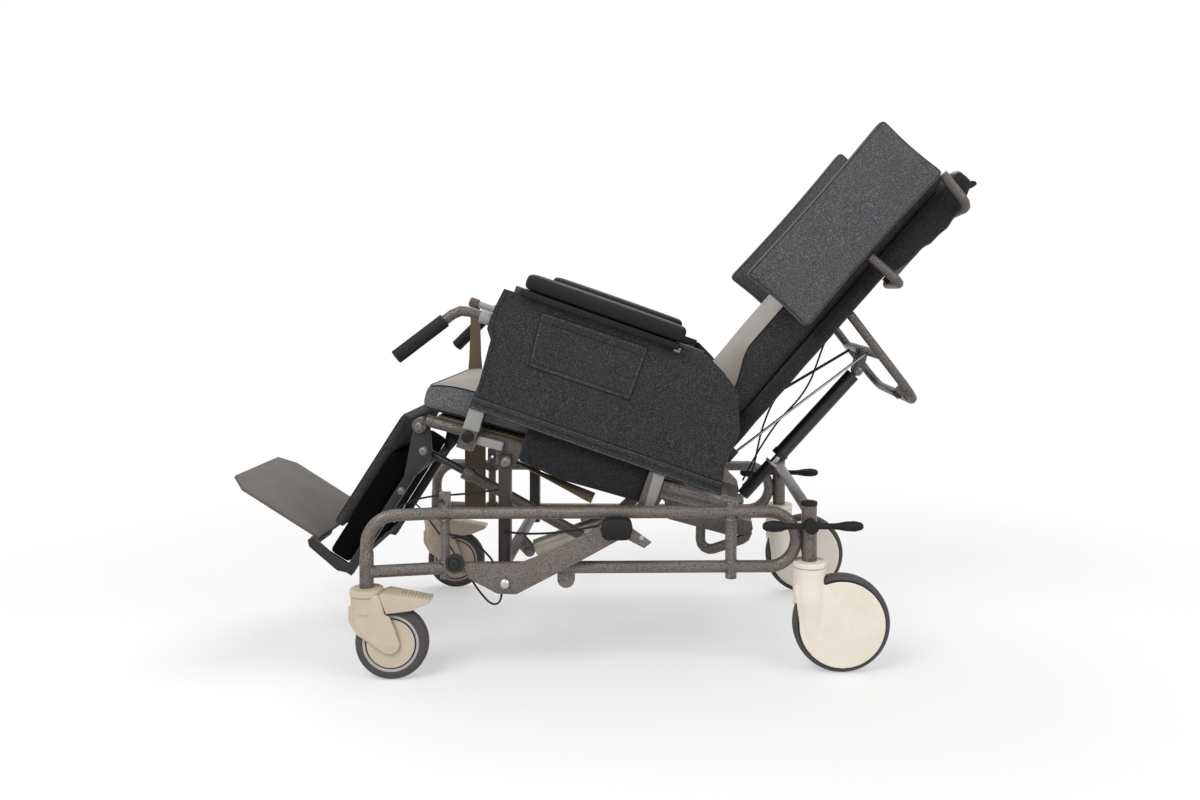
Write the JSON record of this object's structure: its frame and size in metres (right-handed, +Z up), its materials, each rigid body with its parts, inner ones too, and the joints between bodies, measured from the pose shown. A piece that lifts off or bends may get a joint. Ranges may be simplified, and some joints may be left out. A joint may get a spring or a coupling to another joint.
{
  "type": "tilt in space wheelchair",
  "caption": "Attendant wheelchair with a tilting seat, reclining back, raising legrest, side head pads and swivel casters on a bent tube base.",
  "frame": {"origin": "on the floor, under the middle of the chair's overall box", "axes": "+X toward the back of the chair, +Y toward the occupant's right side, +Z up; the occupant faces -X"},
  "size_m": [1.6303, 0.7068, 1.1546],
  "materials": {
    "frame_paint": "hammered bronze grey paint",
    "bracket_grey": "light grey satin paint",
    "black_steel": "satin black paint",
    "silver": "satin",
    "chrome": "polished",
    "black_rubber": "moulded",
    "grey_tread": "smooth non-marking tread",
    "hub_grey": "moulded",
    "beige_plastic": "moulded beige",
    "ivory_plastic": "moulded ivory",
    "black_vinyl": "black vinyl over foam",
    "charcoal_cloth": "heather charcoal cover over foam",
    "olive_webbing": "woven webbing",
    "footplate_grey": "textured taupe grey"
  },
  "bodies": {
    "base": {"side_frame_left": "frame_paint", "side_frame_right": "frame_paint", "upright_left": "frame_paint", "upright_right": "frame_paint", "base_cross_tube": "frame_paint", "rear_cross_tube": "frame_paint"},
    "front_caster_l": {"front_caster_fork_left": "beige_plastic"},
    "front_caster_r": {"front_caster_fork_right": "beige_plastic"},
    "front_wheel_l": {"front_wheel_left": "hub_grey", "front_tyre_left": "grey_tread"},
    "front_wheel_r": {"front_wheel_right": "hub_grey", "front_tyre_right": "grey_tread"},
    "front_brake_l": {"front_brake_pedal_left": "beige_plastic"},
    "front_brake_r": {"front_brake_pedal_right": "beige_plastic"},
    "rear_caster_l": {"rear_caster_fork_left": "ivory_plastic"},
    "rear_caster_r": {"rear_caster_fork_right": "ivory_plastic"},
    "rear_wheel_l": {"rear_wheel_left": "grey_tread"},
    "rear_wheel_r": {"rear_wheel_right": "grey_tread"},
    "rear_lock_l": {"lock_shaft_left": "chrome", "lock_pedal_left": "black_rubber"},
    "rear_lock_r": {"lock_shaft_right": "chrome", "lock_pedal_right": "black_rubber"},
    "foot_lever": {"tilt_foot_lever": "frame_paint", "tilt_foot_pad": "black_rubber"},
    "tilt_barrel": {"tilt_cylinder": "silver"},
    "tilt_piston": {"tilt_rod": "chrome"},
    "seat": {"seat_frame": "frame_paint", "seat_webbing": "olive_webbing", "seat_cushion": "charcoal_cloth", "side_roll_left": "charcoal_cloth", "side_roll_right": "charcoal_cloth"},
    "arm_l": {"arm_frame_left": "bracket_grey", "arm_pad_left": "black_vinyl", "side_panel_left": "charcoal_cloth"},
    "arm_r": {"arm_frame_right": "bracket_grey", "arm_pad_right": "black_vinyl", "side_panel_right": "charcoal_cloth", "hanging_strap": "olive_webbing"},
    "arm_knob_l": {"arm_knob_left": "black_rubber"},
    "arm_knob_r": {"arm_knob_right": "black_rubber"},
    "handle_l": {"handle_tube_left": "black_steel", "handle_grip_left": "black_rubber"},
    "handle_r": {"handle_tube_right": "black_steel", "handle_grip_right": "black_rubber"},
    "back": {"back_frame": "frame_paint", "push_bar": "frame_paint", "back_cushion": "charcoal_cloth", "head_pad_left": "charcoal_cloth", "head_pad_right": "charcoal_cloth", "head_pad_bracket_left": "frame_paint", "head_pad_bracket_right": "frame_paint"},
    "release_lever": {"recline_lever": "black_steel"},
    "recline_piston": {"recline_rod": "chrome"},
    "recline_barrel": {"recline_cylinder": "black_steel"},
    "legrest": {"legrest_frame": "frame_paint", "calf_pad": "charcoal_cloth", "calf_pad_base": "black_vinyl"},
    "foot_rest": {"footplate": "footplate_grey"},
    "strut_outer": {"leg_strut_tube": "frame_paint"},
    "strut_inner": {"leg_strut_rod": "chrome"}
  },
  "joints": [
    {"name": "seat_tilt", "type": "hinge", "parent": "base", "child": "seat", "pos_m": [-0.187, 0, 0.4308], "axis": [0, 1, 0], "range_deg": [-15, 3]},
    {"name": "tilt_cylinder_swing", "type": "hinge", "parent": "base", "child": "tilt_barrel", "pos_m": [-0.162, -0.04, 0.19], "axis": [0, 1, 0], "range_deg": [-14, 18]},
    {"name": "tilt_rod_slide", "type": "slide", "parent": "tilt_barrel", "child": "tilt_piston", "axis": [0.9355, 0, 0.3533], "range_m": [-0.084, 0.064]},
    {"name": "back_recline", "type": "hinge", "parent": "seat", "child": "back", "pos_m": [0.23842, 0, 0.38402], "axis": [0, 1, 0], "range_deg": [-20, 8]},
    {"name": "recline_rod_swing", "type": "hinge", "parent": "seat", "child": "recline_piston", "pos_m": [0.32533, 0, 0.29886], "axis": [0, 1, 0], "range_deg": [-22, 27]},
    {"name": "recline_cylinder_slide", "type": "slide", "parent": "recline_piston", "child": "recline_barrel", "axis": [0.6752, 0, 0.7376], "range_m": [-0.054, 0.044]},
    {"name": "legrest_raise", "type": "hinge", "parent": "seat", "child": "legrest", "pos_m": [-0.37742, 0, 0.50419], "axis": [0, 1, 0], "range_deg": [-8, 50]},
    {"name": "leg_strut_swing", "type": "hinge", "parent": "seat", "child": "strut_outer", "pos_m": [-0.0172, -0.181, 0.25099], "axis": [0, 1, 0], "range_deg": [-2, 2]},
    {"name": "leg_strut_slide", "type": "slide", "parent": "strut_outer", "child": "strut_inner", "axis": [-0.8772, 0, 0.4801], "range_m": [-0.009, 0.05]},
    {"name": "footplate_flip", "type": "hinge", "parent": "legrest", "child": "foot_rest", "pos_m": [-0.62221, 0, 0.24278], "axis": [0, 1, 0], "range_deg": [0, 75]},
    {"name": "arm_height_l", "type": "slide", "parent": "seat", "child": "arm_l", "axis": [0.3305, 0, 0.9438], "range_m": [0, 0.05]},
    {"name": "arm_height_r", "type": "slide", "parent": "seat", "child": "arm_r", "axis": [0.3305, 0, 0.9438], "range_m": [0, 0.05]},
    {"name": "arm_knob_turn_l", "type": "hinge", "parent": "seat", "child": "arm_knob_l", "pos_m": [-0.2638, -0.268, 0.48683], "axis": [0, 1, 0], "continuous": true},
    {"name": "arm_knob_turn_r", "type": "hinge", "parent": "seat", "child": "arm_knob_r", "pos_m": [-0.2638, 0.268, 0.48683], "axis": [0, 1, 0], "continuous": true},
    {"name": "handle_swivel_l", "type": "hinge", "parent": "arm_l", "child": "handle_l", "pos_m": [-0.22791, -0.2485, 0.73756], "axis": [0.9438, 0, -0.3305], "range_deg": [-90, 0]},
    {"name": "handle_swivel_r", "type": "hinge", "parent": "arm_r", "child": "handle_r", "pos_m": [-0.22791, 0.2485, 0.73756], "axis": [0.9438, 0, -0.3305], "range_deg": [0, 90]},
    {"name": "release_lever_pull", "type": "hinge", "parent": "back", "child": "release_lever", "pos_m": [0.66558, -0.15, 0.56116], "axis": [0.66, 0, 0.7513], "range_deg": [-12, 0], "stiffness_Nm_per_rad": 2, "springref_deg": 28.65},
    {"name": "foot_lever_press", "type": "hinge", "parent": "base", "child": "foot_lever", "pos_m": [-0.2837, -0.307, 0.2271], "axis": [0, 1, 0], "range_deg": [0, 10], "stiffness_Nm_per_rad": 12, "springref_deg": -34.38},
    {"name": "rear_lock_turn_l", "type": "hinge", "parent": "base", "child": "rear_lock_l", "pos_m": [0.454, -0.3, 0.308], "axis": [0, 1, 0], "range_deg": [-15, 15]},
    {"name": "rear_lock_turn_r", "type": "hinge", "parent": "base", "child": "rear_lock_r", "pos_m": [0.454, 0.3, 0.308], "axis": [0, 1, 0], "range_deg": [-15, 15]},
    {"name": "front_swivel_l", "type": "hinge", "parent": "base", "child": "front_caster_l", "pos_m": [-0.46, -0.322, 0.187], "axis": [0, 0, 1], "continuous": true},
    {"name": "front_swivel_r", "type": "hinge", "parent": "base", "child": "front_caster_r", "pos_m": [-0.46, 0.322, 0.187], "axis": [0, 0, 1], "continuous": true},
    {"name": "front_roll_l", "type": "hinge", "parent": "front_caster_l", "child": "front_wheel_l", "pos_m": [-0.407, -0.322, 0.075], "axis": [0, 1, 0], "continuous": true},
    {"name": "front_roll_r", "type": "hinge", "parent": "front_caster_r", "child": "front_wheel_r", "pos_m": [-0.407, 0.322, 0.075], "axis": [0, 1, 0], "continuous": true},
    {"name": "front_brake_press_l", "type": "hinge", "parent": "front_caster_l", "child": "front_brake_l", "pos_m": [-0.42, -0.322, 0.16], "axis": [0, 1, 0], "range_deg": [0, 6]},
    {"name": "front_brake_press_r", "type": "hinge", "parent": "front_caster_r", "child": "front_brake_r", "pos_m": [-0.42, 0.322, 0.16], "axis": [0, 1, 0], "range_deg": [0, 6]},
    {"name": "rear_swivel_l", "type": "hinge", "parent": "base", "child": "rear_caster_l", "pos_m": [0.454, -0.28, 0.231], "axis": [0, 0, 1], "continuous": true},
    {"name": "rear_swivel_r", "type": "hinge", "parent": "base", "child": "rear_caster_r", "pos_m": [0.454, 0.28, 0.231], "axis": [0, 0, 1], "continuous": true},
    {"name": "rear_roll_l", "type": "hinge", "parent": "rear_caster_l", "child": "rear_wheel_l", "pos_m": [0.52, -0.28, 0.1016], "axis": [0, 1, 0], "continuous": true},
    {"name": "rear_roll_r", "type": "hinge", "parent": "rear_caster_r", "child": "rear_wheel_r", "pos_m": [0.52, 0.28, 0.1016], "axis": [0, 1, 0], "continuous": true}
  ],
  "couplings": [
    {"joint": "tilt_cylinder_swing", "follows": "seat_tilt", "ratio": 0.8432},
    {"joint": "tilt_rod_slide", "follows": "seat_tilt", "m_per_rad": -0.2355},
    {"joint": "recline_rod_swing", "follows": "back_recline", "ratio": 1.0134},
    {"joint": "recline_cylinder_slide", "follows": "back_recline", "m_per_rad": -0.1194},
    {"joint": "leg_strut_swing", "follows": "legrest_raise", "ratio": -0.0279},
    {"joint": "leg_strut_slide", "follows": "legrest_raise", "m_per_rad": 0.0553}
  ]
}
